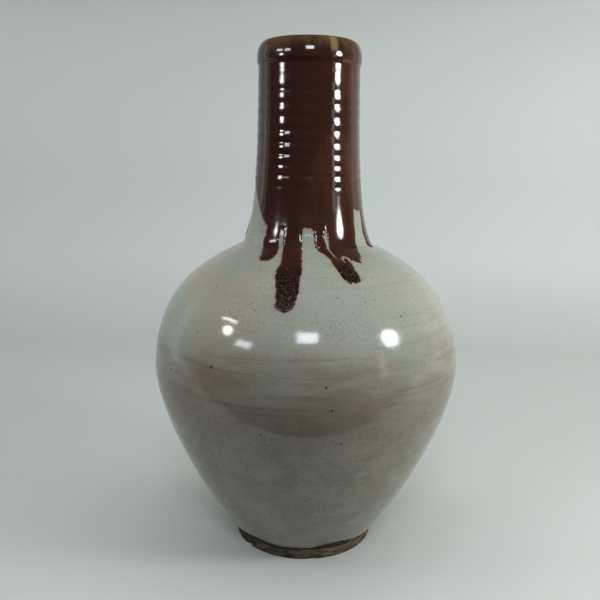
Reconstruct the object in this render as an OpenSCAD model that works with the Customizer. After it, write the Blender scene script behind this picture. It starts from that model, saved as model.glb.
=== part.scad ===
// Large stoneware sake bottle, thrown in sections that are joined with slip, and glazed inside and out.
// The origin is the middle of the foot, on the surface that the bottle stands on. The mouth is up.

/* [Body] */
// Height of the whole bottle
bottle_h = 370; // [369:1:376]
// Radius of the bottle where the body leaves the foot
foot_r = 52.8; // [49:0.1:56]
// Height at which the body leaves the foot
foot_h = 7; // [6:0.5:8]
// Largest radius of the body
belly_r = 112.8; // [105:0.1:118]
// Height of the largest radius
belly_h = 137; // [130:1:144]
// Radius at the root of the neck
root_r = 49.2; // [47:0.1:52]
// Height of the root of the neck
root_h = 227; // [222:1:230]

/* [Neck and mouth] */
// Radius of the neck just below the mouth roll
neck_r = 35.8; // [34:0.1:37]
// Height at which the mouth roll begins
roll_h = 352; // [350:0.5:352.5]
// How far the mouth roll stands out from the neck
roll_out = 1.5; // [1:0.1:2.5]
// Radius of the bore at the mouth
mouth_r = 26; // [25:0.1:27]
// Length of the straight bore at the mouth
mouth_len = 14; // [12:0.5:14]
// Radius at which the lip is highest
crest_r = 29.5; // [29:0.1:30]

/* [Walls] */
// Wall at the foot, glaze included
foot_wall = 9; // [8:0.1:10]
// Wall at the belly, glaze included
belly_wall = 7.5; // [6.5:0.1:8.5]
// Wall at the root of the neck, glaze included
root_wall = 8; // [7:0.1:9]
// Height of the floor inside
floor_h = 14; // [13.5:0.1:15]
// Height of the hollow under the floor
under_h = 4.5; // [3.5:0.5:5]
// Width of the foot ring
ring_w = 13; // [11:0.5:14]
// How far a joint between two sections rises into the upper one
tongue_h = 4; // [2:0.5:5]

/* [Glaze] */
// Thickness of the glaze outside
coat_t = 0.6; // [0.4:0.1:0.8]
// Thickness of the glaze inside
liner_t = 0.5; // [0.3:0.1:0.6]
// How far a run stands out from the coat
run_t = 0.9; // [0.5:0.1:1.2]
// Where the brown coat ends, as a share of the way from the root of the neck to the mouth roll
seam_at = 0.26; // [0.2:0.01:0.35]
// Where the pale coat begins, as a share of the way from the foot to the belly
coat_from = 0.03; // [0.02:0.005:0.05]

/* [Hidden] */
$fn = 96;
steps = 14;
clay = "#8b6f58";
brown = "#3b1c14";
pale = "#a9a698";

// The outside of the finished bottle is five cubic curves, each from its first point to its last.
root = [root_r, root_h];
root_way = [-24.5, 12];
foot_to_belly = [[foot_r, foot_h], [foot_r + 40.9, foot_h + 54.3], [belly_r, belly_h - 21], [belly_r, belly_h]];
belly_to_root = [[belly_r, belly_h], [belly_r, belly_h + 60], root - root_way, root];
root_to_roll = [root, root + 0.28 * root_way, [neck_r, roll_h - 88.5], [neck_r, roll_h]];
roll_low = [[neck_r, roll_h], [neck_r, roll_h + 1.6], [neck_r + roll_out, roll_h + 2.2],
            [neck_r + roll_out, roll_h + 5.4]];
roll_top = [[neck_r + roll_out, roll_h + 5.4], [neck_r + roll_out, bottle_h - 5.5], [crest_r + 5, bottle_h],
            [crest_r, bottle_h]];

function curve(c, u) =
    pow(1 - u, 3) * c[0] + 3 * pow(1 - u, 2) * u * c[1] + 3 * (1 - u) * u * u * c[2] + pow(u, 3) * c[3];
function heading(c, u) =
    pow(1 - u, 2) * (c[1] - c[0]) + 2 * (1 - u) * u * (c[2] - c[1]) + u * u * (c[3] - c[2]);
// Unit vector to the left of the way along the curve: into the wall, as the curves run up the outside.
function inward(c, u) = let (h = heading(c, u)) [-h[1], h[0]] / norm(h);
function inside(c, u, depth) = curve(c, u) + depth * inward(c, u);
function line(c, depth, from = 0, to = 1) =
    [for (i = [0:steps]) let (u = from + (to - from) * i / steps) inside(c, u, depth)];
function back(points) = [for (i = [len(points) - 1:-1:0]) points[i]];
function tail(points) = [for (i = [1:len(points) - 1]) points[i]];
function blend(a, b, u) = a + (b - a) * u;

// The wall is measured square to the outside, and it thickens towards the mouth, where the bore is straight.
function low_wall(u) = blend(foot_wall, belly_wall, u);
function high_wall(u) = blend(belly_wall, root_wall, u);
function neck_wall(u) = blend(root_wall, neck_r - mouth_r, pow(u, 4));
function inner_low(off, from = 0, to = 1) =
    [for (i = [0:steps]) let (u = from + (to - from) * i / steps) inside(foot_to_belly, u, low_wall(u) - off)];
function inner_high(off) =
    [for (i = [0:steps]) let (u = i / steps) inside(belly_to_root, u, high_wall(u) - off)];
function inner_neck(off) =
    [for (i = [0:steps]) let (u = i / steps) inside(root_to_roll, u, neck_wall(u) - off)];

// The floor turns up into the wall along a curve that starts flat.
turn_at = 0.1;
turn_end = inside(foot_to_belly, turn_at, low_wall(turn_at));
turn_way = heading(foot_to_belly, turn_at) / norm(heading(foot_to_belly, turn_at));
turn_flat = turn_end[0] - 22;
floor_turn = [[turn_flat, floor_h], [turn_flat + 14, floor_h], turn_end - 5 * turn_way, turn_end];
turn_last = inside(foot_to_belly, turn_at, low_wall(turn_at) - liner_t);
function clay_turn() = [for (i = [0:steps]) i == steps ? turn_last : inside(floor_turn, i / steps, -liner_t)];

// The lip rolls over from its crest to the bore along a quarter of an ellipse.
bore_top = roll_h + mouth_len;
function lip_in(off) =
    [for (i = [0:steps]) let (a = 90 * i / steps)
        [crest_r - (crest_r - mouth_r - off) * sin(a), bore_top + (bottle_h - off - bore_top) * cos(a)]];

// The outer faces at a depth, from bottom to top: those of the pale coat, then those of the brown one.
function shoulder_face(depth) = concat(line(belly_to_root, depth), tail(line(root_to_roll, depth, 0, seam_at)));
function body_face(depth) = concat(line(foot_to_belly, depth, coat_from, 1), tail(shoulder_face(depth)));
function neck_face(depth) = line(root_to_roll, depth, seam_at, 1);
function roll_face(depth) =
    concat(tail(line(roll_low, depth)), tail(line(roll_top, depth)), tail(lip_in(depth)));

// Where two sections meet, the lower one ends in a ridge and the upper one has the groove for it.
function ridge(from, to, way = [0, 1]) = [(from + to) / 2 + tongue_h * way / norm(way)];

module turned(points, tint) color(tint) rotate_extrude() polygon(points);

// Clay
belly_out = inside(foot_to_belly, 1, coat_t);
belly_in = inside(foot_to_belly, 1, belly_wall - liner_t);
root_out = inside(belly_to_root, 1, coat_t);
root_in = inside(belly_to_root, 1, root_wall - liner_t);
neck_out = inside(root_to_roll, 1, coat_t);
neck_in = inside(root_to_roll, 1, neck_r - mouth_r - liner_t);
ring_top = foot_h + 1;
ring_out = foot_r - 0.4;
ring_in = ring_out - ring_w;
ledge_r = ring_in + 5;
base_edge = [ledge_r + 3, ring_top + 2.5];
// The floor meets the wall at this one of the points along its turn.
floor_last = 4;

module base_disc()
    turned([[0, under_h], [ledge_r, under_h], [ledge_r, ring_top], base_edge,
            each back([for (i = [0:floor_last]) clay_turn()[i]]), [0, floor_h - liner_t]], clay);

module foot_ring()
    turned([[ring_in + 2, 0], [ring_out - 1.4, 0], [ring_out - 0.4, 0.4], [ring_out, 1.4], [ring_out + 0.3, 4],
            [ring_out, ring_top], [ledge_r, ring_top], [ledge_r, under_h], [ring_in, under_h], [ring_in, 2],
            [ring_in + 0.6, 0.6]], clay);

module lower_body()
    turned([[ledge_r, ring_top], [ring_out, ring_top], each line(foot_to_belly, coat_t, coat_from, 1),
            each ridge(belly_out, belly_in), each back(inner_low(liner_t, turn_at, 1)),
            each back([for (i = [floor_last:steps - 1]) clay_turn()[i]]), base_edge], clay);

module upper_body()
    turned([each line(belly_to_root, coat_t), each ridge(root_out, root_in, root_way),
            each back(inner_high(liner_t)), each ridge(belly_out, belly_in)], clay);

module neck()
    turned([root_out, each tail(line(root_to_roll, coat_t, 0, seam_at)), each tail(neck_face(coat_t)),
            each ridge(neck_out, neck_in), each back(tail(inner_neck(liner_t))), root_in,
            each ridge(root_out, root_in, root_way)], clay);

module mouth_roll()
    turned([neck_out, each roll_face(coat_t), neck_in, each ridge(neck_out, neck_in)], clay);

// Glaze
module body_glaze() turned(concat(body_face(0), back(body_face(coat_t))), pale);

module neck_glaze()
    turned(concat(neck_face(0), roll_face(0), [[mouth_r, roll_h], neck_in], back(roll_face(coat_t)),
                  back(neck_face(coat_t))), brown);

module liner_glaze()
    turned([[0, floor_h - liner_t], each clay_turn(), each tail(inner_low(liner_t, turn_at, 1)),
            each tail(inner_high(liner_t)), each tail(inner_neck(liner_t)), each back(tail(inner_neck(0))),
            each back(tail(inner_high(0))), each back(tail(inner_low(0, turn_at, 1))),
            each back(line(floor_turn, 0)), [0, floor_h]], pale);

// A run is a ribbon with a round end, seen square on from its own side, turned by so many degrees from the
// front. Its stations are [sideways place, height, half width], and the seam of the two coats cuts its top off.
run_top = curve(root_to_roll, seam_at)[1] + 9;
module run_shell() rotate_extrude() polygon(concat(shoulder_face(0), back(shoulder_face(-run_t))));
function tip(p, r) = [for (a = [195:30:345]) p + r * [cos(a), sin(a)]];
module run(turn, stations) {
    last = stations[len(stations) - 1];
    intersection() {
        run_shell();
        rotate([90, 0, turn])
            linear_extrude(belly_r + 10)
                polygon([each [for (s = stations) [s[0] - s[2], s[1]]], each tip([last[0], last[1]], last[2]),
                         each back([for (s = stations) [s[0] + s[2], s[1]]])]);
    }
}

module glaze_run_left() color(brown) run(-33, [[0, run_top, 6], [0, 233, 6], [1, 226, 6.5]]);
module glaze_run_long() color(brown) run(-8, [[-3, run_top, 9], [-1.5, 230, 8.5], [-1, 215, 8], [0, 202, 7.5]]);
module glaze_run_hooked() color(brown) run(22, [[0, run_top, 11], [1.5, 231, 9.5], [2, 222, 7], [2, 214, 5]]);
module glaze_run_right() color(brown) run(72, [[0, run_top, 7], [0, 234, 4.5], [0.5, 230, 2.5]]);
module glaze_run_edge() color(brown) run(-84, [[0, run_top, 6], [0, 236, 4], [0.5, 232, 3]]);
module glaze_runs_back() color(brown) {
    run(128, [[0, run_top, 9], [0, 230, 6], [-1, 216, 5.5]]);
    run(170, [[0, run_top, 8], [0, 232, 5], [0.5, 226, 4.5]]);
    run(218, [[0, run_top, 10], [0, 228, 7], [1, 208, 6.5]]);
}

base_disc();
foot_ring();
lower_body();
upper_body();
neck();
mouth_roll();
body_glaze();
neck_glaze();
liner_glaze();
glaze_run_left();
glaze_run_long();
glaze_run_hooked();
glaze_run_right();
glaze_run_edge();
glaze_runs_back();
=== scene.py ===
# A large stoneware sake bottle: pale ash glaze on the body, and iron glaze that has run down from the neck.
import math
from bisect import bisect_left

import bmesh
import bpy
from mathutils import Matrix, Vector, noise
from mathutils.geometry import interpolate_bezier


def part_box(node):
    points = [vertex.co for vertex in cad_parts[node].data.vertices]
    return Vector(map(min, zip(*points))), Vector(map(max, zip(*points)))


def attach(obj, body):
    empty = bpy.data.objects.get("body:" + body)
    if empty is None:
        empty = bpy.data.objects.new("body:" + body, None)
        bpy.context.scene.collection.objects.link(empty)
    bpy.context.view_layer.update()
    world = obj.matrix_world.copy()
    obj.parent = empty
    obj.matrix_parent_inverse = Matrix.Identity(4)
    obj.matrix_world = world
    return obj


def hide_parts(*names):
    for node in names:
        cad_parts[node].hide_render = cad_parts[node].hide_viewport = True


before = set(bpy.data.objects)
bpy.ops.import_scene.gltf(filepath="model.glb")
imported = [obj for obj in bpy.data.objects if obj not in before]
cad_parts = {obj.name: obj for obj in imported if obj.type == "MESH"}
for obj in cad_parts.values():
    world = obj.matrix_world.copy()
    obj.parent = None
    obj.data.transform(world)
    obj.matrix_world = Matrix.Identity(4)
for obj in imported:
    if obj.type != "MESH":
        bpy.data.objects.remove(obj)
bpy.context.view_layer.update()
mm = 0.001

# Camera

camera = {
    "place": (0, -0.540, 0.2892),
    "down": 11.043,   # degrees below the horizon
    "left": 0.502,
    "roll": 0.667,
    "lens": 43.69,
}


def makeCamera(settings):
    data = bpy.data.cameras.new("camera")
    data.lens = settings["lens"]
    data.sensor_width = 36
    data.clip_start = 0.01
    body = bpy.data.objects.new("camera", data)
    bpy.context.scene.collection.objects.link(body)
    turn = (
        Matrix.Rotation(math.radians(settings["left"]), 4, "Z")
        @ Matrix.Rotation(math.radians(90 - settings["down"]), 4, "X")
        @ Matrix.Rotation(math.radians(settings["roll"]), 4, "Z")
    )
    body.matrix_world = Matrix.Translation(settings["place"]) @ turn
    bpy.context.scene.camera = body


makeCamera(camera)
print("camera in place")

# The outside of the pot. Millimetres, radius and height, from the foot up and over the lip into the bore.
# Places along it are given in mm of clay surface, so that a run keeps its width where the shoulder flattens.

outside = {
    "curves": (
        ((52.8, 7), (93.7, 61.3), (112.8, 116), (112.8, 137)),
        ((112.8, 137), (112.8, 197), (73.7, 215), (49.2, 227)),
        ((49.2, 227), (42.34, 230.36), (35.8, 263.5), (35.8, 352)),
        ((35.8, 352), (35.8, 353.6), (37.3, 354.2), (37.3, 357.4)),
        ((37.3, 357.4), (37.3, 364.5), (34.5, 370), (29.5, 370)),
        ((29.5, 370), (27.57, 370), (26, 368.2), (26, 366)),
        ((26, 366), (26, 362), (26, 356), (26, 352)),
    ),
    "belly": 112.8,
    "height": 370,
    "resolution": 120,
}


class Outline:
    def __init__(self, settings):
        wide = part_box("body_glaze")[1].x / mm / settings["belly"]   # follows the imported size
        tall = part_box("neck_glaze")[1].z / mm / settings["height"]
        points = []
        for curve in settings["curves"]:
            knots = [Vector((r * wide, z * tall)) for r, z in curve]
            found = interpolate_bezier(*knots, settings["resolution"])
            points += found if not points else found[1:]
        self.points = points
        self.along = [0.0]
        for before, after in zip(points, points[1:]):
            self.along.append(self.along[-1] + (after - before).length)
        top = max(range(len(points)), key=lambda i: points[i].y)
        self.heights = [p.y for p in points[:top]]
        self.length = self.along[-1]

    def at(self, along):
        # place on the outline and the unit vector out of the clay there
        i = min(max(bisect_left(self.along, along), 1), len(self.points) - 1)
        a, b = self.points[i - 1], self.points[i]
        share = (along - self.along[i - 1]) / (self.along[i] - self.along[i - 1])
        return a.lerp(b, share), self.outwards(i, share)

    def outwards(self, i, share):
        last = len(self.points) - 1
        way = (self.points[i] - self.points[i - 1]).normalized()
        near = i + 1 if share > 0.5 else i - 1
        near = min(max(near, 1), last)
        other = (self.points[near] - self.points[near - 1]).normalized()
        way = way.lerp(other, abs(share - 0.5)).normalized()
        return Vector((way.y, -way.x))

    def atHeight(self, z):
        i = min(max(bisect_left(self.heights, z), 1), len(self.heights) - 1)
        low, high = self.heights[i - 1], self.heights[i]
        share = (z - low) / (high - low)
        return self.along[i - 1] + share * (self.along[i] - self.along[i - 1])


outline = Outline(outside)


def spread(start, end, step):
    count = max(1, round(abs(end - start) / step))
    return [start + (end - start) * i / count for i in range(count + 1)]


def between(knots, x):
    # straight lines through a list of (x, y)
    if x <= knots[0][0]:
        return knots[0][1]
    for (x0, y0), (x1, y1) in zip(knots, knots[1:]):
        if x <= x1:
            return y0 + (y1 - y0) * (x - x0) / (x1 - x0)
    return knots[-1][1]


def ease(x):
    x = min(max(x, 0.0), 1.0)
    return x * x * (3 - 2 * x)


# Throwing marks and the slight unevenness of a pot made by hand, in mm out of the surface

throwing = {
    "ringHeight": 0.17,
    "rings": (245, 256, 265.5, 273.5, 280.8, 287.6, 295.2, 303.4, 311.6, 321.3, 329.2, 339.5, 354),
    "ringsFrom": 264,
    "ringsTo": 351,
    "bandHeight": 0.13,
    "unevenHeight": 0.2,
    "tilt": 0.7,      # the rings are this much higher on the left than in the middle
    "narrow": 0.03,   # the smaller, the narrower the grooves between the rings
    "bandsTo": 225,   # the body's own bands fade out over the next fade mm, where the neck begins
    "fade": 25,
}
ringCount = [(z, i) for i, z in enumerate(throwing["rings"])]


def potForm(azimuth, z):
    t = throwing
    x, y = math.sin(azimuth), -math.cos(azimuth)
    tilt = z + t["tilt"] * x
    rings = ease((tilt - t["ringsFrom"]) / 10) * ease((t["ringsTo"] - tilt) / 6)
    wave = 2 * math.sqrt(math.cos(math.pi * between(ringCount, tilt)) ** 2 + t["narrow"]) - 1.1
    strength = 1 + 0.9 * noise.noise(Vector((1.5 * x, 1.5 * y, tilt / 11)))
    body = 1 - ease((z - t["bandsTo"]) / t["fade"])
    narrowBands = noise.noise(Vector((0.3 * x, 0.3 * y, z / 6)))
    bands = narrowBands + noise.noise(Vector((0.4 * x, 0.4 * y, 7 + z / 17)))
    uneven = noise.noise(Vector((1.3 * x, 1.3 * y, 30 + z / 60)))
    low = ease((z - 12) / 10)
    return (
        t["ringHeight"] * rings * wave * strength
        + t["bandHeight"] * bands * body * low
        + t["unevenHeight"] * uneven * low
    )


# Where the iron glaze is. Azimuth in degrees, 0 to the front and 90 to the right; heights and widths in mm.

ironEdge = (
    (-100, 266), (-90, 274), (-82, 273), (-76, 269), (-67, 263), (-59.5, 256.8), (-53.5, 250.6), (-49.5, 247.4),
    (-43.5, 243), (-36, 241.5), (-24, 241), (-12, 241), (-4, 242.6), (2, 242), (10, 243), (20, 245), (40, 249),
    (50, 253), (55, 254.5), (61, 252.5), (67, 253), (75, 258), (85, 256), (95, 251), (110, 247), (128, 246),
    (150, 242), (170, 245), (196, 241), (218, 246), (240, 245), (252, 252), (260, 266),
)
ironRuns = (   # each is a row of azimuth, height and half its width
    ((-33.6, 248, 5.4), (-33.4, 237, 5.8), (-33.6, 231.8, 6.6), (-29.8, 226, 5.6), (-28.4, 223.4, 5.5)),
    ((-13, 248, 6.5), (-13, 235.5, 6.7), (-12.2, 229.5, 6.9), (-10.6, 223.8, 6.6), (-9.4, 218.7, 7.5),
     (-9.8, 215.8, 8.5), (-9.3, 211.6, 7.9), (-8.6, 207, 7.4), (-8.4, 203, 7.0), (-8.6, 199.2, 6.5)),
    ((11.4, 246, 4.6), (10.9, 237, 3.9), (11.4, 232, 4.4), (13.6, 228.2, 3.6), (16.4, 225.4, 2.6),
     (18.3, 222.6, 2.2), (19.7, 219.6, 3.6), (22.6, 215.4, 6.2), (23.1, 212.6, 5.8)),
    ((36, 256, 12.5), (35.5, 244, 12), (34.2, 237, 12), (32.6, 231, 11.6), (31.4, 227.6, 10.4),
     (29.4, 225.2, 8)),
    ((27, 226, 6), (24.9, 221.6, 4.8), (24, 218.4, 4.8)),
    ((41, 229.6, 5), (37.6, 224.6, 4.1), (34.4, 221.8, 2.7), (35.4, 220.7, 1.4)),
    ((76, 262, 8), (75.6, 247, 5.6), (74.4, 240, 5.9), (73, 234, 6), (71.2, 229.6, 4.6)),
    ((-110, 266, 7), (-101, 250, 5), (-93, 240, 4), (-88.4, 234, 2.2)),
    ((128, 262, 9), (128, 234, 6.4), (127, 217, 5.8)),
    ((150, 252, 6), (151, 238, 4.2)),
    ((170, 262, 9), (170, 238, 5.4), (170.6, 227, 4.7)),
    ((196, 252, 5), (195, 239, 3.6)),
    ((218, 262, 10), (218, 232, 7.6), (219, 211, 6.8)),
    ((240, 258, 7), (240, 240, 4.4), (239, 232, 3.6)),
)
paleGaps = (   # the same, for lines where the pale glaze shows through
    ((16.4, 238.0, 0.5), (16.7, 236.2, 1.15), (17.3, 232.6, 0.9), (18.0, 228.4, 0.55), (19.4, 225.4, 0.4),
     (21.2, 221.8, 0.3)),
    ((33.6, 217.6, 2.0), (29.6, 220.2, 1.1), (28.8, 222.4, 0.9), (27.0, 223.5, 0.85), (24.8, 222.7, 0.8),
     (24.2, 221, 0.5)),
)
ironCoat = {
    "neckThick": 0.35,
    "runThick": 0.8,
    "beadWidth": 2.2,
    "dipSlope": 0.7,
    "deepest": 0.35,
    "cutBeyond": 1.1,
    "blend": 2.4,
    "gapBlend": 0.7,
    "wellInside": 25,   # further in than this, no run matters
    "below": 12,        # nor further below a run's last station than this
    "ragged": ((1.0, 3.2), (0.95, 1.4)),   # strength and size of the wobbles of the edge
    "thickBelow": 222,
    "thinAbove": 256,
    "innerDepth": 0.45,
    "thinEdge": 1.2,    # the glaze looks thin this close to its edge
    "blisters": 0.12,
}
smallestRadius = 36   # the neck's, where a millimetre is most degrees


def wrapped(degrees):
    return (degrees + 100) % 360 - 100


def runDistance(stations, azimuth, along, radius):
    # how far inside the run a point is, in mm; negative outside
    best = -1e9
    scale = math.radians(1) * radius
    for (a0, s0, w0), (a1, s1, w1) in zip(stations, stations[1:]):
        x, y = (azimuth - a0) * scale, along - s0
        dx, dy = (a1 - a0) * scale, s1 - s0
        share = min(max((x * dx + y * dy) / (dx * dx + dy * dy), 0.0), 1.0)
        reach = math.hypot(x - share * dx, y - share * dy)
        best = max(best, w0 + (w1 - w0) * share - reach)
    return best


def rounded(row):
    # more stations, on a smooth curve through the ones given
    ends = [row[0]] + list(row) + [row[-1]]
    found = [row[0]]
    for p, q, r, t in zip(ends, ends[1:], ends[2:], ends[3:]):
        for u in (1 / 3, 2 / 3, 1):
            found.append(tuple(
                0.5 * (2 * b + (c - a) * u + (2 * a - 5 * b + 4 * c - d) * u * u
                       + (3 * b - a - 3 * c + d) * u ** 3)
                for a, b, c, d in zip(p, q, r, t)
            ))
    return found


def smoothMost(a, b, blend):
    near = max(blend - abs(a - b), 0.0) / blend
    return max(a, b) + near * near * blend / 4


def measured(rows):
    # each row with the azimuths and the lowest place that it can reach
    found = []
    for row in rows:
        row = rounded([(a, outline.atHeight(z), w) for a, z, w in row])
        margin = math.degrees((max(w for a, s, w in row) + ironCoat["blend"]) / smallestRadius)
        first, last = min(a for a, s, w in row) - margin, max(a for a, s, w in row) + margin
        found.append((row, first, last, min(s for a, s, w in row) - ironCoat["below"]))
    return found


runLines = measured(ironRuns)
gapLines = measured(paleGaps)


def ironReach(azimuth, along, radius, z):
    # mm inside the edge of the iron glaze, azimuth in degrees from -100 to 260
    c = ironCoat
    slope = (between(ironEdge, azimuth + 2) - between(ironEdge, azimuth - 2)) / (4 * math.radians(1) * radius)
    edge = outline.atHeight(between(ironEdge, azimuth))
    reach = (along - edge) / math.hypot(1, slope)
    if reach > c["wellInside"]:
        return reach
    for row, first, last, lowest in runLines:
        near = first + (azimuth - first) % 360
        if near < last and along > lowest:
            found = runDistance(row, near, along, radius)
            if found > reach - c["blend"]:
                reach = smoothMost(reach, found, c["blend"])
    for row, first, last, lowest in gapLines:
        if first < azimuth < last:
            reach = -smoothMost(-reach, runDistance(row, azimuth, along, radius), c["gapBlend"])
    x, y = math.sin(math.radians(azimuth)) * radius, -math.cos(math.radians(azimuth)) * radius
    ragged = sum(strength * noise.noise(Vector((x, y, z)) / size) for strength, size in c["ragged"])
    return reach + ragged * min(1, abs(reach) + 0.6) * 0.8


def ironThick(reach, z):
    c = ironCoat
    height = (z - c["thickBelow"]) / (c["thinAbove"] - c["thickBelow"])
    full = c["runThick"] + (c["neckThick"] - c["runThick"]) * ease(height)
    if reach < 0:
        return max(reach * c["dipSlope"], -c["deepest"])
    inwards = 1 - min(reach / c["beadWidth"], 1)
    return full * math.sqrt(1 - inwards * inwards)


# Mesh helpers. Every turned piece is a line spun round the axis; its vertices remember where on the outline
# they came from and how deep, so the same forms can be put on all of them.


def turnedSheet(stations, steps, start=0.0, sweep=360.0, closed=True):
    # stations are (along, depth) in mm; closed joins the last to the first
    bm = bmesh.new()
    alongLayer = bm.verts.layers.float.new("along")
    depthLayer = bm.verts.layers.float.new("depth")
    line = []
    for along, depth in stations:
        place, out = outline.at(along)
        place = place + out * depth
        vert = bm.verts.new((0, -place.x, place.y))
        vert[alongLayer] = along
        vert[depthLayer] = depth
        line.append(vert)
    edges = [bm.edges.new(pair) for pair in zip(line, line[1:])]
    if closed:
        edges.append(bm.edges.new((line[-1], line[0])))
    bmesh.ops.rotate(bm, verts=line, cent=(0, 0, 0), matrix=Matrix.Rotation(math.radians(start), 3, "Z"))
    bmesh.ops.spin(
        bm, geom=line + edges, cent=(0, 0, 0), axis=(0, 0, 1), dvec=(0, 0, 0),
        angle=math.radians(sweep), steps=steps, use_merge=sweep == 360.0, use_duplicate=False,
    )
    return bm, alongLayer, depthLayer


def azimuthOf(vert):
    return math.atan2(vert.co.x, -vert.co.y)


def putAt(vert, azimuth, place):
    vert.co = (place.x * math.sin(azimuth), -place.x * math.cos(azimuth), place.y)


def finishPiece(bm, name, material, slot, *nodes):
    bmesh.ops.remove_doubles(bm, verts=bm.verts, dist=0.0005)
    bmesh.ops.recalc_face_normals(bm, faces=bm.faces)
    bmesh.ops.scale(bm, verts=bm.verts, vec=(mm, mm, mm))
    for face in bm.faces:
        face.smooth = True
    mesh = bpy.data.meshes.new(name)
    bm.to_mesh(mesh)
    bm.free()
    mesh.set_sharp_from_angle(angle=math.radians(50))
    mesh.materials.append(material)
    piece = bpy.data.objects.new(name, mesh)
    bpy.context.scene.collection.objects.link(piece)
    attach(piece, "root")
    if nodes:
        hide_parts(*nodes)
    print(name, len(mesh.polygons), "faces")


# Shader maths


class Wire:
    # an output socket that can be added, multiplied and so on, each time with one more Math node
    def __init__(self, tree, socket):
        self.tree, self.socket = tree, socket

    def out(self, name):
        return Wire(self.tree, self.socket.node.outputs[name])

    def maths(self, operation, *values):
        node = self.tree.nodes.new("ShaderNodeMath")
        node.operation = operation
        for put, value in zip(node.inputs, values):
            plug(self.tree, put, value)
        return Wire(self.tree, node.outputs[0])

    def __add__(self, other):
        return self.maths("ADD", self, other)

    def __sub__(self, other):
        return self.maths("SUBTRACT", self, other)

    def __rsub__(self, other):
        return self.maths("SUBTRACT", other, self)

    def __mul__(self, other):
        return self.maths("MULTIPLY", self, other)

    def __pow__(self, other):
        return self.maths("POWER", self, other)

    __radd__ = __add__
    __rmul__ = __mul__


def plug(tree, put, value):
    if isinstance(value, Wire):
        tree.links.new(value.socket, put)
    elif put.type == "RGBA" and len(value) == 3:
        put.default_value = (*value, 1)
    else:
        put.default_value = value


class Finish:
    def __init__(self, name):
        self.material = bpy.data.materials.new(name)
        self.material.use_nodes = True
        self.tree = self.material.node_tree
        self.tree.nodes.clear()
        self.object = self.add("ShaderNodeTexCoord").out("Object")

    def add(self, kind, settings=None, sockets=None):
        # settings are made first, because they decide which sockets there are
        node = self.tree.nodes.new(kind)
        for key, value in (settings or {}).items():
            if key == "stops":
                self.setStops(node.color_ramp, value)
            else:
                setattr(node, key, value)
        for key, value in (sockets or {}).items():
            plug(self.tree, node.inputs[key], value)
        return Wire(self.tree, next((s for s in node.outputs if s.enabled), None))

    def setStops(self, ramp, stops):
        while len(ramp.elements) < len(stops):
            ramp.elements.new(0.5)
        for element, (place, colour) in zip(ramp.elements, stops):
            element.position = place
            element.color = (*colour, 1)

    def mixed(self, share, a, b):
        # the Mix node's colours are sockets 6 and 7, and come out of 2
        node = self.add("ShaderNodeMix", {"data_type": "RGBA"}, {0: share, 6: a, 7: b}).socket.node
        return Wire(self.tree, node.outputs[2])

    def stretched(self, scale, shift=(0, 0, 0)):
        return self.add("ShaderNodeMapping", None, {"Vector": self.object, "Scale": scale, "Location": shift})

    def clouds(self, vector, scale, detail=2.0, rough=0.5):
        sockets = {"Vector": vector, "Scale": scale, "Detail": detail, "Roughness": rough}
        return self.add("ShaderNodeTexNoise", None, sockets)

    def ranged(self, value, low, high, to=(0.0, 1.0)):
        sockets = {"Value": value, "From Min": low, "From Max": high, "To Min": to[0], "To Max": to[1]}
        return self.add("ShaderNodeMapRange", {"interpolation_type": "SMOOTHSTEP"}, sockets)

    def shell(self, colour, rough, bump=None, **constants):
        sockets = {"Base Color": colour, "Roughness": rough}
        if bump:
            height, strength, depth = bump
            sockets["Normal"] = self.add(
                "ShaderNodeBump", None, {"Height": height, "Strength": strength, "Distance": depth}
            )
        sockets.update({key.replace("_", " "): value for key, value in constants.items()})
        shader = self.add("ShaderNodeBsdfPrincipled", None, sockets)
        self.add("ShaderNodeOutputMaterial", None, {"Surface": shader})
        return self.material


def tone(red, green, blue):
    # screen colour, 0 to 255, as the linear colour that shaders take
    return tuple(c / 12.92 if c <= 0.04045 else ((c + 0.055) / 1.055) ** 2.4
                 for c in (red / 255, green / 255, blue / 255))


# Finishes

iron = {
    "dark": tone(54, 30, 22),
    "rust": tone(82, 50, 33),
    "olive": tone(90, 72, 45),
    "copper": tone(152, 108, 80),
    "black": tone(18, 10, 8),
    "thin": tone(92, 62, 48),
    # painted reflection: the pale yellowish colour of a window mirrored on the lip
    "worn": tone(142, 122, 90),
    "rough": 0.08,
}


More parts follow.
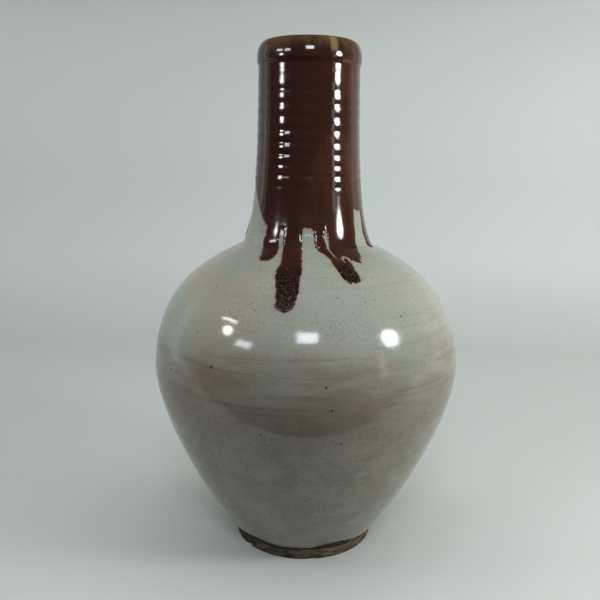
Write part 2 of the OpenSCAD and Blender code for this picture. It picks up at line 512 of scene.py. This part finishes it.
def ironGlazeFinish(settings):
    f = Finish("ironGlaze")
    parts = f.add("ShaderNodeSeparateXYZ", None, {"Vector": f.object})
    x, z = parts.out("X"), parts.out("Z")
    streaks = f.clouds(f.stretched((1, 1, 0.12)), 190, 4, 0.6).out("Fac")
    patches = f.clouds(f.stretched((1, 1, 0.4), (3, 1, 0)), 38, 3, 0.55).out("Fac")
    side = f.ranged(x, 0.0, 0.026)
    upper = f.ranged(z, 0.225, 0.25)
    rusty = f.ranged(patches * 0.7 + side * 0.22 + streaks * 0.35, 0.56, 0.98) * (0.25 + upper * 0.75)
    colour = f.mixed(rusty, settings["dark"], settings["rust"])
    lip = f.ranged(z, 0.354, 0.3695)
    olive = f.ranged(patches + streaks * 0.4 + lip * 0.35 + side * 0.05, 0.74, 1.1) * (0.2 + lip * 0.8)
    colour = f.mixed(olive, colour, settings["olive"])
    rim = f.add("ShaderNodeAttribute", {"attribute_name": "thin"}).out("Fac")
    colour = f.mixed(f.ranged(rim, 0.3, 1) * 0.55, colour, settings["thin"])
    # painted reflection: a pale patch on the lip where a window is mirrored
    worn = f.add("ShaderNodeAttribute", {"attribute_name": "worn"}).out("Fac")
    colour = f.mixed(worn * (0.4 + patches * 0.6), colour, settings["worn"])
    pitted = f.add("ShaderNodeAttribute", {"attribute_name": "pitted"}).out("Fac")
    colour = f.mixed(pitted * 0.95, colour, settings["black"])
    cells = f.add("ShaderNodeTexVoronoi", {"feature": "F1"}, {"Vector": f.object, "Scale": 900}).out("Distance")
    grains = (1 - f.ranged(cells, 0.12, 0.4)) * pitted
    some = f.ranged(f.clouds(f.object, 600, 1).out("Fac"), 0.34, 0.56)
    colour = f.mixed(grains * some * 0.8, colour, settings["copper"])
    ripple = f.clouds(f.stretched((1, 1, 0.5)), 240, 2).out("Fac") * 0.22
    height = ripple + grains * -2 + f.clouds(f.object, 900, 2).out("Fac") * pitted * 1.2
    rough = f.ranged(patches, 0.3, 0.7, (settings["rough"], settings["rough"] + 0.05)) + pitted * 0.18
    return f.shell(colour, rough, (height, 0.3, 0.0004), IOR=1.55)


ash = {
    "grey": tone(162, 161, 149),
    "green": tone(150, 159, 146),
    "beige": tone(162, 150, 131),
    "pink": tone(166, 155, 146),
    "brown": tone(118, 106, 88),
    "ochre": tone(146, 120, 84),
    # painted shade: the colour of the lower body, which faces down, away from the light
    "low": tone(116, 111, 96),
    "halo": tone(160, 136, 118),
    "speck": tone(48, 38, 31),
    "rough": 0.1,
    "specks": (   # azimuth, height and size in mm of the larger iron spots
        (-32.8, 157.7, 1.5), (-54, 148, 1.3), (-50.4, 148, 1.1), (12.3, 112, 1.3), (12.8, 202, 0.8),
        (34.3, 212, 0.8), (38.6, 189, 1.1), (41, 190.5, 0.8), (-14.5, 117.5, 1.1), (-11, 114.6, 0.9),
        (42, 121.5, 1.0), (46, 123, 0.8), (23.5, 121, 0.9), (8.6, 136, 1.2), (6.6, 150.7, 1.1),
        (-57, 189, 1.0), (-50.7, 185.7, 0.8), (1, 64.6, 1.0), (0.5, 31.8, 0.9), (-20.7, 40.8, 0.9),
        (131, 168, 1.3), (176, 141, 1.1), (203, 120, 1.2), (158, 92, 1.0), (231, 180, 1.1),
    ),
}


def ashGlazeFinish(settings):
    f = Finish("ashGlaze")
    parts = f.add("ShaderNodeSeparateXYZ", None, {"Vector": f.object})
    x, z = parts.out("X"), parts.out("Z")
    broad = f.clouds(f.stretched((1, 1, 1.5)), 15, 4, 0.55).out("Fac")
    mottle = f.clouds(f.stretched((1, 1, 1.3), (5, 2, 1)), 48, 4, 0.6).out("Fac")
    bands = f.clouds(f.stretched((0.3, 0.3, 1)), 70, 5, 0.6).out("Fac")
    marks = f.clouds(f.stretched((0.04, 0.04, 1)), 260, 2, 0.5).out("Fac")
    fine = f.clouds(f.object, 300, 3, 0.6).out("Fac")
    colour = f.mixed(f.ranged(broad, 0.38, 0.6), settings["grey"], settings["green"])
    left = f.ranged(x, 0.0, -0.07) * f.ranged(z, 0.13, 0.21)
    colour = f.mixed(left * f.ranged(broad, 0.62, 0.4) * 0.6, colour, settings["beige"])
    colour = f.mixed(f.ranged(mottle, 0.5, 0.72) * 0.3, colour, settings["pink"])
    # painted shade: the body is darker towards the bottom
    colour = f.mixed(f.ranged(z + broad * 0.03, 0.18, 0.13) * 0.95, colour, settings["low"])
    colour = f.mixed(f.ranged(mottle + fine * 0.5, 0.64, 0.92) * 0.28, colour, settings["grey"])
    waist = f.ranged(z + broad * 0.03, 0.195, 0.165) * f.ranged(z + broad * 0.03, 0.12, 0.145)
    colour = f.mixed(waist * f.ranged(bands, 0.38, 0.64, (0.24, 0.7)), colour, settings["brown"])
    lines = f.ranged(marks + fine * 0.15, 0.62, 0.78) * (0.3 + waist * 0.7)
    colour = f.mixed(lines * 0.5, colour, settings["brown"])
    colour = f.mixed(f.ranged(mottle + fine * 0.3, 0.74, 0.92) * waist * 0.4, colour, settings["ochre"])
    halo = f.add("ShaderNodeAttribute", {"attribute_name": "halo"}).out("Fac")
    colour = f.mixed(halo * 0.75, colour, settings["halo"])
    dots = f.add("ShaderNodeTexVoronoi", {"feature": "F1"}, {"Vector": f.object, "Scale": 190}).out("Distance")
    specks = (1 - f.ranged(dots, 0.05, 0.15)) * f.ranged(f.clouds(f.object, 70, 2).out("Fac"), 0.42, 0.54)
    pin = f.add("ShaderNodeTexVoronoi", {"feature": "F1"}, {"Vector": f.object, "Scale": 380}).out("Distance")
    pinholes = (1 - f.ranged(pin, 0.08, 0.2)) * f.ranged(fine, 0.53, 0.62)
    colour = f.mixed(pinholes * 0.5, colour, settings["brown"])
    grain = f.clouds(f.object, 620, 3, 0.7).out("Fac")
    colour = f.mixed(f.ranged(grain + mottle * 0.3, 0.62, 0.84) * 0.3, colour, settings["brown"])
    colour = f.mixed(specks * 0.65, colour, settings["speck"])
    wobble = f.add("ShaderNodeVectorMath", {"operation": "SCALE"}, {
        "Vector": f.clouds(f.object, 900, 2).out("Color"), "Scale": 0.0012,
    })
    nearby = f.add("ShaderNodeVectorMath", {"operation": "ADD"}, {0: f.object, 1: wobble})
    spots = 0
    for azimuth, height, size in settings["specks"]:
        place, _ = outline.at(outline.atHeight(height))
        turn = math.radians(azimuth)
        centre = Vector((place.x * math.sin(turn), -place.x * math.cos(turn), place.y))
        centre = (centre + Vector((0.6, 0.6, 0.6))) * mm   # the wobble's middle
        away = f.add("ShaderNodeVectorMath", {"operation": "DISTANCE"}, {0: nearby, 1: centre}).out("Value")
        spots = f.ranged(away, size * 0.3 * mm, size * mm, (1.0, 0.0)) + spots
    colour = f.mixed(f.ranged(spots, 0.0, 1.0) * 0.9, colour, settings["speck"])
    height = f.clouds(f.object, 150, 2).out("Fac") * 0.5 + marks * 0.4 + pinholes * -0.5 + specks * -0.3
    rough = f.ranged(broad, 0.3, 0.7, (settings["rough"], settings["rough"] + 0.05))
    return f.shell(colour, rough, (height, 0.25, 0.0004), IOR=1.5)


clay = {
    "brown": tone(80, 67, 50),
    "dark": tone(29, 23, 18),
    "pale": tone(126, 113, 89),
    "rough": 0.75,
}


def clayFinish(settings):
    f = Finish("clay")
    parts = f.add("ShaderNodeSeparateXYZ", None, {"Vector": f.object})
    x, y, z = parts.out("X"), parts.out("Y"), parts.out("Z")
    fromAxis = (x * x + y * y) ** 0.5
    ringed = f.add("ShaderNodeCombineXYZ", None, {"X": fromAxis + x * 0.16, "Y": y * 0.16, "Z": z})
    turned = f.clouds(ringed, 640, 4, 0.7).out("Fac")
    blotch = f.clouds(f.object, 60, 4, 0.6).out("Fac")
    grain = f.clouds(f.object, 1300, 2, 0.6).out("Fac")
    colour = f.mixed(f.ranged(turned * 0.7 + blotch * 0.35, 0.44, 0.58), settings["dark"], settings["brown"])
    worn = f.ranged(turned * 0.6 + blotch * 0.4 + grain * 0.2, 0.62, 0.74)
    colour = f.mixed(worn * 0.7, colour, settings["pale"])
    # painted shade: the bare clay between the foot ring and the glaze is darkened as if in shadow
    creviceShade = f.ranged(z, 0.0068, 0.0088) * f.ranged(z, 0.016, 0.0135)
    colour = f.mixed(creviceShade * 0.8, colour, settings["dark"])
    return f.shell(colour, settings["rough"], (turned * 0.9 + grain * 0.5, 0.6, 0.0006), IOR=1.45)


liner = {"glaze": tone(150, 138, 112), "deep": tone(104, 92, 72), "rough": 0.2}


def linerFinish(settings):
    f = Finish("linerGlaze")
    bands = f.clouds(f.stretched((0.15, 0.15, 1)), 90, 4, 0.6).out("Fac")
    colour = f.mixed(f.ranged(bands, 0.35, 0.65), settings["glaze"], settings["deep"])
    return f.shell(colour, settings["rough"], (bands, 0.2, 0.0005), IOR=1.5)


ironGlaze = ironGlazeFinish(iron)
ashGlaze = ashGlazeFinish(ash)
bareClay = clayFinish(clay)
linerGlaze = linerFinish(liner)
print("finishes made")

# Pale ash glaze on the body. It goes on up under the iron glaze.

ashCoat = {
    "top": 282,
    "thick": 0.55,
    "columns": 400,
    "fineRow": 1.0,
    "row": 2.4,
    "innerRow": 14,
    "fineFrom": 188,
    "line": ((-180, 11), (-150, 12.4), (-120, 10.6), (-95, 12), (-70, 10.6), (-50, 12.2), (-38, 13.7), (-22, 9.9),
             (1.5, 10.3), (10, 11.6), (16, 14.6), (28, 14.4), (36, 12.6), (42, 10.4), (60, 11.4), (90, 10.2),
             (120, 12.6), (150, 10.4), (180, 11)),
    "edgeBead": 2.2,
    "edgeFall": 0.5,
    "bottom": 10.3,    # the rows start here, and are moved to follow the line as far up as blendTo
    "blendTo": 26,
    "haloWidth": 2.2,
    "haloTo": 278,
}


def makeAshGlaze(c):
    low, fine, top = (outline.atHeight(c[key]) for key in ("bottom", "fineFrom", "top"))
    outer = spread(low, fine, c["row"])[:-1] + spread(fine, top, c["fineRow"])
    inner = spread(top, low, c["innerRow"])
    stations = [(s, 0.0) for s in outer] + [(s, -c["thick"]) for s in inner]
    bm, alongLayer, depthLayer = turnedSheet(stations, c["columns"])
    haloLayer = bm.verts.layers.float.new("halo")
    blendTo = outline.atHeight(c["blendTo"])
    for vert in bm.verts:
        azimuth, along, depth = azimuthOf(vert), vert[alongLayer], vert[depthLayer]
        degrees = math.degrees(azimuth)
        if along < blendTo:
            wobble = 0.5 * noise.noise(Vector((degrees / 3, 0, 0)))
            wobble += 0.25 * noise.noise(Vector((degrees, 2, 0)))
            start = outline.atHeight(between(c["line"], degrees) + wobble)
            along = start + (along - low) * (blendTo - start) / (blendTo - low)
            fromEdge = along - start
        else:
            fromEdge = 99
        place, out = outline.at(along)
        lift = 0.0
        if depth == 0.0:
            inwards = 1 - min(fromEdge / c["edgeBead"], 1)
            fall = c["edgeFall"] * (1 - math.sqrt(1 - inwards * inwards))
            lift = potForm(azimuth, place.y) * min(fromEdge / 8, 1) - fall
            if c["fineFrom"] < place.y < c["haloTo"]:
                reach = ironReach(wrapped(degrees), along, place.x, place.y)
                vert[haloLayer] = ease(1 + reach / c["haloWidth"]) if reach < 0 else 1.0
        putAt(vert, azimuth, place + out * (depth + lift))
    finishPiece(bm, "ashGlaze", ashGlaze, "ash_glaze", "body_glaze")


makeAshGlaze(ashCoat)

# Iron glaze on the neck, over the mouth roll and into the bore

neckCoat = {
    "from": 281,
    "thick": 0.25,
    "columns": 288,
    "row": 0.9,
    "innerRow": 6,
    "rollFrom": 352,
    "rollRings": 0.4,   # share of the rings' height that the roll has
    "rim": 367.4,       # the glaze is thin above this
    "rimThin": 0.6,
    "worn": (22.5, 31.5, 359, 369.4),   # azimuths and heights of a pale patch on the lip, a painted reflection of a window
}


def makeNeckCoat(c):
    low, top = outline.atHeight(c["from"]), outline.length
    outer = [(s, 0.0) for s in spread(low, top, c["row"])]
    inner = [(s, -c["thick"]) for s in spread(top, low, c["innerRow"])]
    bm, alongLayer, depthLayer = turnedSheet(outer + inner, c["columns"])
    thin = bm.verts.layers.float.new("thin")
    worn = bm.verts.layers.float.new("worn")
    left, right, under, over = c["worn"]
    rollFrom = outline.atHeight(c["rollFrom"])
    for vert in bm.verts:
        azimuth, along, depth = azimuthOf(vert), vert[alongLayer], vert[depthLayer]
        degrees = math.degrees(azimuth)
        place, out = outline.at(along)
        # painted reflection: mask of a pale patch on the lip where a window is mirrored
        vert[worn] = (
            ease((degrees - left + 1) / 3) * ease((right + 1 - degrees) / 3)
            * ease((place.y - under + 1) / 3) * ease((over + 0.5 - place.y) / 1)
        )
        onRoll = ease((along - rollFrom) / 6)
        lift = 0.0
        if depth == 0.0:
            rings = potForm(azimuth, place.y) * (1 - (1 - c["rollRings"]) * onRoll)
            lift = rings + ironCoat["neckThick"] * (1 - onRoll)
            vert[thin] = c["rimThin"] * ease((place.y - c["rim"]) / 2)
        putAt(vert, azimuth, place + out * (depth + lift))
    finishPiece(bm, "neckCoat", ironGlaze, "iron_glaze", "neck_glaze")


makeNeckCoat(neckCoat)

# The runs: sectors of the same coat, cut out along its edge

runSectors = (   # name, azimuths from and to, columns, lowest height, CAD nodes
    ("runLeft", -56, -20, 72, 218, ("glaze_run_left",)),
    ("runLong", -20, 2, 46, 190, ("glaze_run_long",)),
    ("runHooked", 2, 56, 108, 204, ("glaze_run_hooked",)),
    ("runRight", 56, 100, 60, 222, ("glaze_run_right",)),
    ("runsBack", 100, 248, 180, 200, ("glaze_runs_back",)),
    ("runEdge", 248, 304, 76, 226, ("glaze_run_edge",)),
)
pits = ((-8.6, 208, 15), (22.8, 214, 9.5))   # azimuth, height and reach in mm of the blistered ends
pitFade = 11   # mm over which the blisters fade out; 4 of them are within the reach
runRow = 0.6


def pittedAt(azimuth, along, radius):
    most = 0.0
    for a, z, reach in pits:
        away = math.hypot((azimuth - a) * math.radians(1) * radius, along - outline.atHeight(z))
        most = max(most, ease((reach + pitFade - 4 - away) / pitFade))
    return most


def makeRun(name, start, end, columns, lowest, nodes):
    c = ironCoat
    low, top = outline.atHeight(lowest), outline.atHeight(neckCoat["from"])
    stations = [(s, 0.0) for s in spread(low, top, runRow)]
    bm, alongLayer, _ = turnedSheet(stations, columns, start, end - start, closed=False)
    thin = bm.verts.layers.float.new("thin")
    pitted = bm.verts.layers.float.new("pitted")
    reachLayer = bm.verts.layers.float.new("reach")
    for vert in bm.verts:
        place, out = outline.at(vert[alongLayer])
        azimuth = azimuthOf(vert)
        degrees = wrapped(math.degrees(azimuth))
        reach = ironReach(degrees, vert[alongLayer], place.x, place.y)
        vert[reachLayer] = reach
        if reach < -2 * c["cutBeyond"]:
            continue   # this far out it is cut off
        vert[pitted] = pittedAt(degrees, vert[alongLayer], place.x)
        vert[thin] = ease(1 - reach / c["thinEdge"])
        lift = potForm(azimuth, place.y) + ironThick(reach, place.y)
        if vert[pitted] > 0 and reach > 0.5:
            lift += c["blisters"] * vert[pitted] * noise.noise(vert.co / 0.9)
        putAt(vert, azimuth, place + out * lift)
    away = [f for f in bm.faces if max(v[reachLayer] for v in f.verts) < -c["cutBeyond"]]
    bmesh.ops.delete(bm, geom=away, context="FACES")
    while pinched := {v for v in bm.verts if sum(e.is_boundary for e in v.link_edges) > 2}:
        # two openings that meet at a corner would make an edge with four faces
        corners = [f for f in bm.faces if not pinched.isdisjoint(f.verts)]
        bmesh.ops.delete(bm, geom=corners, context="FACES")
    sheet = bmesh.ops.extrude_face_region(bm, geom=list(bm.faces), use_keep_orig=True)
    for vert in (g for g in sheet["geom"] if isinstance(g, bmesh.types.BMVert)):
        azimuth = azimuthOf(vert)
        place, out = outline.at(vert[alongLayer])
        putAt(vert, azimuth, place - out * c["innerDepth"])
    finishPiece(bm, name, ironGlaze, "iron_glaze", *nodes)


for sector in runSectors:
    makeRun(*sector)

# Foot ring

foot = {
    "columns": 300,
    "profile": ((41.4, 4.5), (41.4, 2.0), (42.0, 0.6), (43.4, 0.0), (46, 0.0), (49, 0.0), (51.0, 0.0),
                (52.0, 0.4), (52.4, 1.4), (52.6, 2.6), (52.75, 4.0), (52.6, 5.6), (52.3, 7.2), (51.6, 8.0),
                (47, 8.0), (44.4, 8.0), (44.4, 4.5)),
    "chips": ((-52, 1.0, 3.2, 1.3), (50, 4.6, 3.4, 0.5), (-66, 6.4, 4.0, 0.6), (8, 0.6, 2.6, 0.7),
              (143, 0.8, 5, 1), (205, 0.6, 3, 0.8)),   # azimuth, height, reach and depth
    "worn": 0.25,      # how far the clay stands back all round, in mm
    "grooves": 0.22,
    "roughness": 0.3,
    "wornFrom": 50,    # only outside this radius and below this height
    "wornTo": 7.9,
}


def makeFoot(c):
    bm = bmesh.new()
    line = [bm.verts.new((0, -r, z)) for r, z in c["profile"]]
    edges = [bm.edges.new(pair) for pair in zip(line, line[1:] + line[:1])]
    bmesh.ops.subdivide_edges(bm, edges=edges, cuts=3)
    bmesh.ops.spin(
        bm, geom=list(bm.verts) + list(bm.edges), cent=(0, 0, 0), axis=(0, 0, 1), dvec=(0, 0, 0),
        angle=math.tau, steps=c["columns"], use_merge=True, use_duplicate=False,
    )
    for vert in bm.verts:
        azimuth = azimuthOf(vert)
        radius = math.hypot(vert.co.x, vert.co.y)
        z = vert.co.z
        if radius > c["wornFrom"] and z < c["wornTo"]:
            groove = noise.noise(Vector((2 * math.sin(azimuth), 2 * math.cos(azimuth), z / 0.9)))
            rough = noise.noise(vert.co / 2.2)
            cut = 0.0
            for a, height, reach, depth in c["chips"]:
                turn = math.radians(wrapped(math.degrees(azimuth) - a + 100) - 100)
                far = math.hypot(turn * radius, z - height)
                cut = max(cut, depth * ease(1.3 - far / reach))
            shrink = 1 - (c["worn"] + c["grooves"] * groove + c["roughness"] * rough + cut) / radius
            vert.co.x *= shrink
            vert.co.y *= shrink
            if z < 0.5:
                vert.co.z += 0.4 * cut
    finishPiece(bm, "footRing", bareClay, "foot_clay", "foot_ring")


makeFoot(foot)

# The clay sections stay as packed, under the glazes

packed = {name: bareClay for name in ("base_disc", "lower_body", "upper_body", "neck", "mouth_roll")}
packed["liner_glaze"] = linerGlaze
for name, material in packed.items():
    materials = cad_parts[name].data.materials
    materials.clear()
    materials.append(material)
print("packed nodes finished")

# Floor, backdrop and light

stage = {
    "halfWidth": 2.4,
    "front": -0.205,
    "wall": 0.8,
    "bend": 0.25,
    "height": 1.2,
    "floorDepth": 1.6,
    "floor": tone(202, 207, 204),
    "colour": tone(213, 219, 217),
    # painted shade on the upper wall
    "high": tone(120, 123, 121),
    "far": (0.5, 0.53, 0.52),   # what the stage fades into far from the pot, where it glows with painted light
    "shade": tone(44, 34, 27),
    "room": (0.05, 0.051, 0.051),
    "roomLight": 0.3,   # share of the room's brightness that lights the pot; the glaze mirrors all of it
    "bendSteps": 12,
    "floorWider": 1.6,   # than the wall
    "drop": 0.004,       # of the dark floor below the pale one
    "glow": (0.9, 1.8),  # how far from the pot the stage starts to fade and has faded
}


def stageFinish(name, low, colour, high, far=(0, 0, 0)):
    # the wall is painted darker upwards, a painted shade, so that its mirrored top edge is soft
    f = Finish(name)
    parts = f.add("ShaderNodeSeparateXYZ", None, {"Vector": f.object})
    x, y, z = parts.out("X"), parts.out("Y"), parts.out("Z")
    colour = f.mixed(f.ranged(z, 0.0, 0.12), low, colour)
    # painted light: far from the pot the stage glows in the far colour instead of being lit
    away = f.ranged((x * x + y * y) ** 0.5, *stage["glow"])
    glow = f.mixed(away, (0, 0, 0), far)
    colour = f.mixed(f.ranged(z, 0.3, 1.1), colour, high)
    return f.shell(f.mixed(away, colour, (0, 0, 0)), 0.9, Emission_Color=glow, Emission_Strength=1.0)


def makeStage(c):
    material = stageFinish("stage", c["floor"], c["colour"], c["high"], c["far"])
    bm = bmesh.new()
    line = [(c["front"], 0.0), (c["wall"] - c["bend"], 0.0)]
    for i in range(1, c["bendSteps"]):
        angle = math.radians(90 * i / c["bendSteps"])
        line.append((c["wall"] - c["bend"] + c["bend"] * math.sin(angle), c["bend"] * (1 - math.cos(angle))))
    line += [(c["wall"], c["bend"]), (c["wall"], c["height"])]
    verts = [bm.verts.new((-c["halfWidth"], y, z)) for y, z in line]
    edges = [bm.edges.new(pair) for pair in zip(verts, verts[1:])]
    made = bmesh.ops.extrude_edge_only(bm, edges=edges)
    moved = [g for g in made["geom"] if isinstance(g, bmesh.types.BMVert)]
    bmesh.ops.translate(bm, verts=moved, vec=(2 * c["halfWidth"], 0, 0))
    bmesh.ops.recalc_face_normals(bm, faces=bm.faces)
    for face in bm.faces:
        face.smooth = True
    addStage(bm, "backdrop", material)
    # the floor goes on towards the camera, but there the glaze mirrors a dark floor
    shade = stageFinish("shade", c["shade"], c["shade"], c["shade"])
    for name, paint, drop in (("floor", material, 0.0), ("darkFloor", shade, c["drop"])):
        bm = bmesh.new()
        bmesh.ops.create_grid(bm, x_segments=1, y_segments=1, size=1)
        bmesh.ops.scale(bm, verts=bm.verts, vec=(c["halfWidth"] * c["floorWider"], c["floorDepth"] / 2, 1))
        bmesh.ops.translate(bm, verts=bm.verts, vec=(0, c["front"] - c["floorDepth"] / 2, -drop))
        near = addStage(bm, name, paint)
        near.visible_glossy = near.visible_diffuse = name == "darkFloor"
        near.visible_camera = name == "floor"


def addStage(bm, name, material):
    mesh = bpy.data.meshes.new(name)
    bm.to_mesh(mesh)
    bm.free()
    mesh.materials.append(material)
    thing = bpy.data.objects.new(name, mesh)
    bpy.context.scene.collection.objects.link(thing)
    return thing


makeStage(stage)

lights = (   # name, azimuth, distance and height in metres, width, height of the panel, watts, colour
    ("rightPanel", 65, 0.64, 0.435, 0.162, 0.18, 1.65, (1.0, 0.99, 0.97)),
    ("leftPanel", -60.3, 0.445, 0.392, 0.068, 0.06, 0.25, (1.0, 0.99, 0.97)),
    ("leftUpper", -65.8, 0.44, 0.484, 0.115, 0.03, 0.18, (1.0, 0.99, 0.97)),
    ("leftWindow", -48.3, 1.6, 0.85, 0.34, 0.2, 2.7, (0.85, 0.92, 1.0)),
    ("frontWindow", 1, 0.75, 0.70, 0.22, 0.155, 1.9, (0.85, 0.92, 1.0)),
    ("doorway", 55, 1.3, 0.28, 0.15, 0.4, 0.3, (0.9, 0.95, 1.0)),
    ("rightCard", 105, 1.2, 0.45, 0.4, 1.0, 0.2, (1.0, 0.98, 0.92)),
    ("leftCard", -105, 1.2, 0.45, 0.4, 1.0, 0.36, (1.0, 0.98, 0.92)),
)
onlyMirrored = ("rightCard", "leftCard")
softLamps = (   # the same, and what each points at; the glaze doesn't mirror them
    ("overhead", 0, 0.04, 1.25, 1.3, 1.1, 6.3, (1.0, 1.0, 0.98), (0, 0.1, 0)),
    ("side", 84, 1.25, 0.42, 0.8, 0.8, 7.1, (1.0, 1.0, 0.99), (0, 0.1, 0.15)),
    ("wallRight", 114, 0.86, 0.75, 0.3, 0.6, 1.1, (1.0, 1.0, 0.99), (0.5, 0.8, 0.25)),
    ("wallLeft", -114, 0.86, 0.75, 0.3, 0.6, 0.85, (1.0, 1.0, 0.99), (-0.5, 0.8, 0.25)),
)


def makeLight(name, azimuth, distance, height, wide, tall, watts, colour, aim=(0, 0, 0.2)):
    data = bpy.data.lights.new(name, "AREA")
    data.shape = "ELLIPSE" if "Panel" in name else "RECTANGLE"
    data.size, data.size_y = wide, tall
    data.energy = watts
    data.color = colour
    lamp = bpy.data.objects.new(name, data)
    bpy.context.scene.collection.objects.link(lamp)
    turn = math.radians(azimuth)
    place = Vector((distance * math.sin(turn), -distance * math.cos(turn), height))
    lamp.location = place
    lamp.rotation_euler = (Vector(aim) - place).to_track_quat("-Z", "Y").to_euler()
    lamp.visible_camera = False
    return lamp


for row in lights:
    lamp = makeLight(*row)
    lamp.visible_diffuse = lamp.name not in onlyMirrored
for row in softLamps:
    makeLight(*row).visible_glossy = False


def makeWorld():
    world = bpy.data.worlds.new("room")
    bpy.context.scene.world = world
    world.use_nodes = True
    tree = world.node_tree
    tree.nodes.clear()
    seen = tree.nodes.new("ShaderNodeBackground")
    seen.inputs["Color"].default_value = (*stage["far"], 1)
    room = tree.nodes.new("ShaderNodeBackground")
    room.inputs["Color"].default_value = (*stage["room"], 1)
    path = tree.nodes.new("ShaderNodeLightPath")
    bright = tree.nodes.new("ShaderNodeMapRange")
    bright.inputs["To Min"].default_value = stage["roomLight"]
    tree.links.new(path.outputs["Is Glossy Ray"], bright.inputs["Value"])
    tree.links.new(bright.outputs[0], room.inputs["Strength"])
    mix = tree.nodes.new("ShaderNodeMixShader")
    out = tree.nodes.new("ShaderNodeOutputWorld")
    tree.links.new(path.outputs["Is Camera Ray"], mix.inputs[0])
    tree.links.new(room.outputs[0], mix.inputs[1])
    tree.links.new(seen.outputs[0], mix.inputs[2])
    tree.links.new(mix.outputs[0], out.inputs["Surface"])


makeWorld()
bpy.context.scene.view_settings.view_transform = "Standard"
print("stage and lights set")
